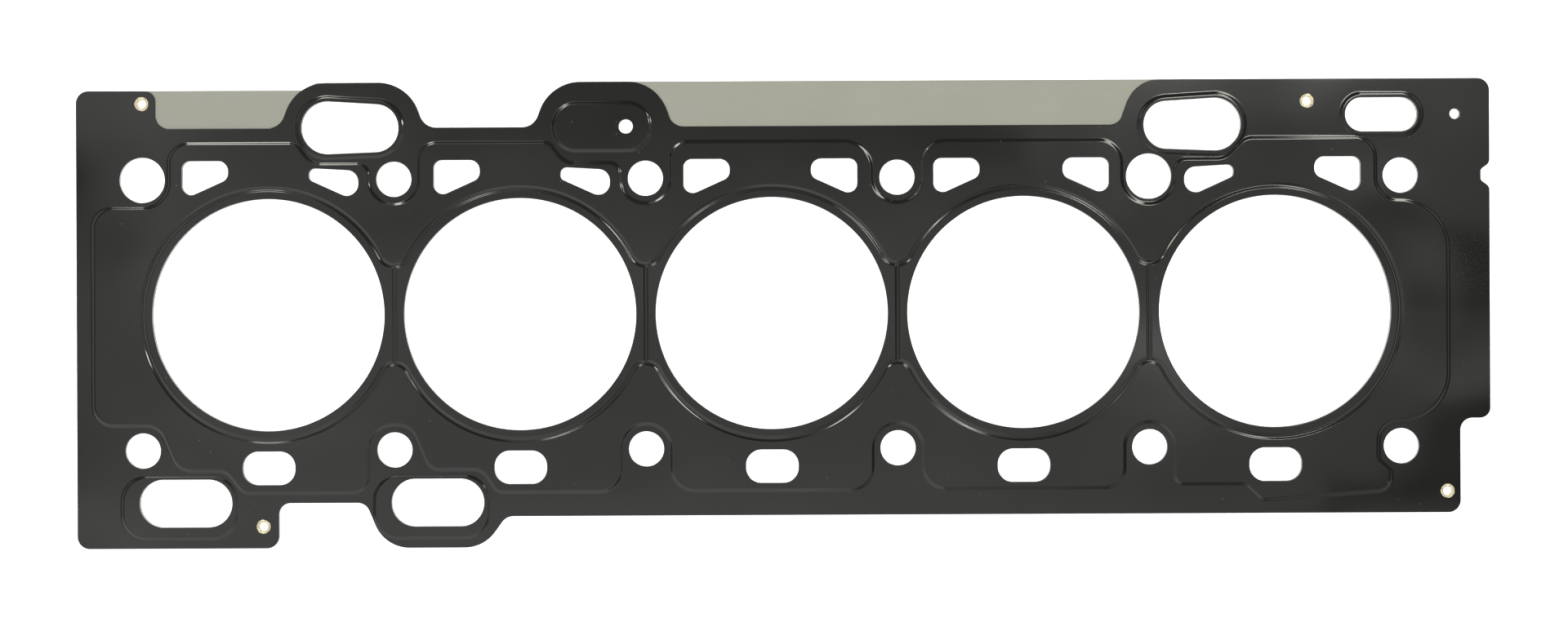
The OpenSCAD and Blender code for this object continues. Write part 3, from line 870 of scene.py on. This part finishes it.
def eyelet(name, middle, brass):
    """An eyelet turned from its section, with a slightly uneven rolled head and one small fold in it."""
    section = eyelet_section()
    tube = EYELET_BORE_D / 2 + EYELET_WALL
    outer = np.clip((section[:, 0] - tube) / (EYELET_HEAD_D / 2 - tube), 0, 1)
    start = middle[0] * PHASE_BY_X + middle[1]
    verts = []
    for turn in np.arange(EYELET_TURNS) * 2 * math.pi / EYELET_TURNS:
        uneven = sum(reach * math.sin(lobes * turn + start * lobes) for lobes, reach in RIPPLES)
        from_fold = math.remainder(turn - math.pi / 2 - FOLD_SWAY * math.sin(start), 2 * math.pi)
        uneven += FOLD_OUT * math.exp(-(from_fold / FOLD_TURN) ** 2)
        r = section[:, 0] + outer * uneven
        x = middle[0] + r * math.cos(turn)
        y = middle[1] + r * math.sin(turn)
        verts.append(np.column_stack([x, y, section[:, 1]]))
    count = len(section)
    faces = []
    for k in range(EYELET_TURNS):
        a, b = k * count, (k + 1) % EYELET_TURNS * count
        for j in range(count):
            n = (j + 1) % count
            faces.append((a + j, b + j, b + n, a + n))
    mesh = bpy.data.meshes.new(name)
    mesh.from_pydata((np.concatenate(verts) * MM).tolist(), [], faces)
    mesh.polygons.foreach_set("use_smooth", np.ones(len(faces), bool))
    corners = {0, 1, 2, count - 1}
    for edge in mesh.edges:
        a, b = edge.vertices
        edge.use_edge_sharp = a % count == b % count and a % count in corners
    mesh.update()
    return new_piece(name, mesh, [brass])


# Stage, light and camera

# The photo's size, its scale at the sheet, and where the origin lies in it, in its pixels
PHOTO_W = 1920
PHOTO_H = 768
PX_PER_MM = 3.5025
ORIGIN_PX = (945.0, 383.4)
# Turn of the camera in radians, its height above the floor and its sensor's width in millimetres
ROLL = -0.00436
CAMERA_H = 650.0
SENSOR = 36.0
# Half the floor's width, and how far it lies under the gasket, in metres
FLOOR_REACH = 3.0
FLOOR_DROP = 0.00002


def floor():
    """A pale plain floor that reaches past every view."""
    material, graph, shader, coords = new_material("floor")
    pale = graph.noise(coords, 40.0, 2.0)
    graph.put(shader, "Base Color", graph.blend(pale, (0.90, 0.90, 0.90, 1), (0.92, 0.92, 0.92, 1)))
    shader.inputs["Roughness"].default_value = 0.9
    shader.inputs["Emission Color"].default_value = (1, 1, 1, 1)
    shader.inputs["Emission Strength"].default_value = 0.6
    mesh = bpy.data.meshes.new("floor")
    far = FLOOR_REACH
    corners = [(-far, -far, 0), (far, -far, 0), (far, far, 0), (-far, far, 0)]
    mesh.from_pydata(corners, [], [(0, 1, 2, 3)])
    plane = new_piece("floor", mesh, [material])
    plane.location.z = -FLOOR_DROP


# The studio ceiling, by the tangent of the direction from straight up. The flat faces mirror its middle.
CEILING_GLOW = 0.70
FAR_GLOW = 1.6
DARKEST = 0.08
# Heights of a direction, 1 being straight up, where the ceiling's glow ends and the far glow begins
CEILING_Z = 0.85
FAR_Z = 0.62
# Strengths between which the light turns from white to warm
WARM_FROM = 1.5
WARM_FULL = 8.0
# Shares of its radii where a cloud stops being full and where it ends
CLOUD_FULL = 0.4
CLOUD_END = 1.4
# Directions lower than this count as this low, so that the tangent stays finite
LOWEST_Z = 0.02
# Lamps, one broad pale panel and dark panels: middle, half size, soft edge, strength
PANELS = [
    ((-0.313, 0.445), (0.052, 0.080), 0.015, 15.0),
    ((-0.250, 0.350), (0.120, 0.150), 0.030, 1.15),
    ((0.245, 0.180), (0.055, 0.024), 0.014, 20.0),
    ((0.365, 0.410), (0.055, 0.110), 0.018, 13.0),
    ((0.00, 0.430), (0.60, 0.240), 0.060, -0.50),
    ((-0.63, 0.000), (0.20, 0.170), 0.050, -0.38),
    ((0.68, 0.020), (0.24, 0.220), 0.050, -0.62),
    ((0.240, -0.420), (0.045, 0.200), 0.030, -0.35),
    ((-0.42, -0.430), (0.44, 0.210), 0.080, 0.80),
    ((0.374, 0.0225), (0.026, 0.017), 0.005, -0.52),
    ((0.377, -0.0875), (0.030, 0.0255), 0.005, -0.48),
    ((0.318, -0.107), (0.030, 0.008), 0.005, -0.45),
]
# Brighter and darker clouds: middle, radii, gain
CLOUDS = [
    ((-0.28, -0.02), (0.14, 0.14), 0.22),
    ((-0.355, 0.12), (0.05, 0.04), 0.50),
    ((-0.34, 0.04), (0.04, 0.05), 0.25),
    ((-0.385, 0.070), (0.034, 0.034), -0.65),
    ((-0.36, -0.115), (0.05, 0.028), 0.35),
    ((-0.15, 0.125), (0.12, 0.03), -0.20),
    ((-0.21, 0.040), (0.05, 0.030), -0.15),
    ((-0.28, -0.05), (0.05, 0.03), 0.25),
    ((0.08, 0.105), (0.16, 0.03), -0.25),
    ((0.180, 0.108), (0.026, 0.036), 0.65),
    ((0.23, 0.14), (0.10, 0.032), 0.65),
    ((0.317, 0.072), (0.025, 0.020), 0.45),
    ((0.365, 0.117), (0.040, 0.028), 0.25),
    ((-0.02, 0.01), (0.24, 0.035), 0.28),
    ((0.00, -0.065), (0.26, 0.04), 0.18),
    ((-0.08, -0.125), (0.32, 0.032), 0.42),
    ((0.21, -0.025), (0.035, 0.028), 1.15),
    ((0.315, 0.006), (0.026, 0.030), 0.60),
    ((0.320, 0.038), (0.014, 0.016), -0.60),
    ((0.37, -0.035), (0.04, 0.025), 0.30),
]


def cloud(graph, x, y, middle, radii, gain):
    """A round soft patch of light, or of dark where the gain is negative."""
    dx = graph.math("DIVIDE", graph.math("SUBTRACT", x, middle[0]), radii[0])
    dy = graph.math("DIVIDE", graph.math("SUBTRACT", y, middle[1]), radii[1])
    squares = graph.math("ADD", graph.math("MULTIPLY", dx, dx), graph.math("MULTIPLY", dy, dy))
    return graph.spread(graph.math("SQRT", squares), CLOUD_FULL, CLOUD_END, gain, 0.0)


def within_reach(graph, value, middle, half, edge):
    """1 within a stretch about its middle, and 0 past its soft edge."""
    away = graph.math("ABSOLUTE", graph.math("SUBTRACT", value, middle))
    return graph.spread(away, half, half + edge, 1.0, 0.0)


def panel(graph, x, y, middle, half, edge, strength):
    """A rectangle of light with soft edges, or of dark where the strength is negative."""
    across = within_reach(graph, x, middle[0], half[0], edge)
    along = within_reach(graph, y, middle[1], half[1], edge)
    return graph.math("MULTIPLY", graph.math("MULTIPLY", across, along), strength)


def studio_light():
    """The ceiling's light, as a world that only depends on the direction."""
    world = bpy.data.worlds.new("studio")
    bpy.context.scene.world = world
    world.use_nodes = True
    graph = Graph(world.node_tree)
    out = graph.add("ShaderNodeOutputWorld")
    split = graph.add("ShaderNodeSeparateXYZ")
    graph.put(split, "Vector", graph.add("ShaderNodeTexCoord").outputs["Generated"])
    up = graph.math("MAXIMUM", split.outputs["Z"], LOWEST_Z)
    x = graph.math("DIVIDE", split.outputs["X"], up)
    y = graph.math("DIVIDE", split.outputs["Y"], up)
    light = graph.spread(split.outputs["Z"], CEILING_Z, FAR_Z, CEILING_GLOW, FAR_GLOW)
    for middle, radii, gain in CLOUDS:
        light = graph.math("ADD", light, cloud(graph, x, y, middle, radii, gain))
    for middle, half, edge, strength in PANELS:
        light = graph.math("ADD", light, panel(graph, x, y, middle, half, edge, strength))
    light = graph.math("MAXIMUM", light, DARKEST)
    shade = graph.add("ShaderNodeBackground")
    warm = graph.spread(light, WARM_FROM, WARM_FULL, 0.0, 1.0)
    graph.put(shade, "Color", graph.blend(warm, (1, 1, 1, 1), (1, 0.99, 0.90, 1)))
    graph.put(shade, "Strength", light)
    graph.tree.links.new(shade.outputs["Background"], out.inputs["Surface"])


def camera():
    """The photo's view, from straight above."""
    data = bpy.data.cameras.new("camera")
    data.sensor_fit = "HORIZONTAL"
    data.sensor_width = SENSOR
    data.clip_start = 0.01
    view_w = PHOTO_W / PX_PER_MM
    data.lens = SENSOR * (CAMERA_H - STACK_H) / view_w
    u = (PHOTO_W / 2 - ORIGIN_PX[0]) / PX_PER_MM
    v = (ORIGIN_PX[1] - PHOTO_H / 2) / PX_PER_MM
    cam = bpy.data.objects.new("camera", data)
    bpy.context.scene.collection.objects.link(cam)
    cam.location = ((u - ROLL * v) * MM, (v + ROLL * u) * MM, CAMERA_H * MM)
    cam.rotation_euler = (0, 0, ROLL)
    bpy.context.scene.camera = cam


# Scene

coating = black_coating("black_coating")
edge_steel = cut_steel("cut_steel")
upper_sheet, lower_sheet = bead_sheets(coating, edge_steel)
middle_sheet = distance_sheet(bare_steel("bare_steel"), edge_steel)
for piece, node, slot in ((upper_sheet, "upper_bead_layer", "upper_coating"),
                          (lower_sheet, "lower_bead_layer", "lower_coating"),
                          (middle_sheet, "distance_layer", "bare_steel")):
    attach(piece, "root")
    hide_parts(node)

brass = eyelet_brass("eyelet_brass")
for node, middle in zip(EYELET_NODES, EYELETS):
    piece = eyelet("rolled_" + node, middle, brass)
    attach(piece, "root")
    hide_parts(node)

floor()
studio_light()
camera()
bpy.context.scene.view_settings.view_transform = "Standard"
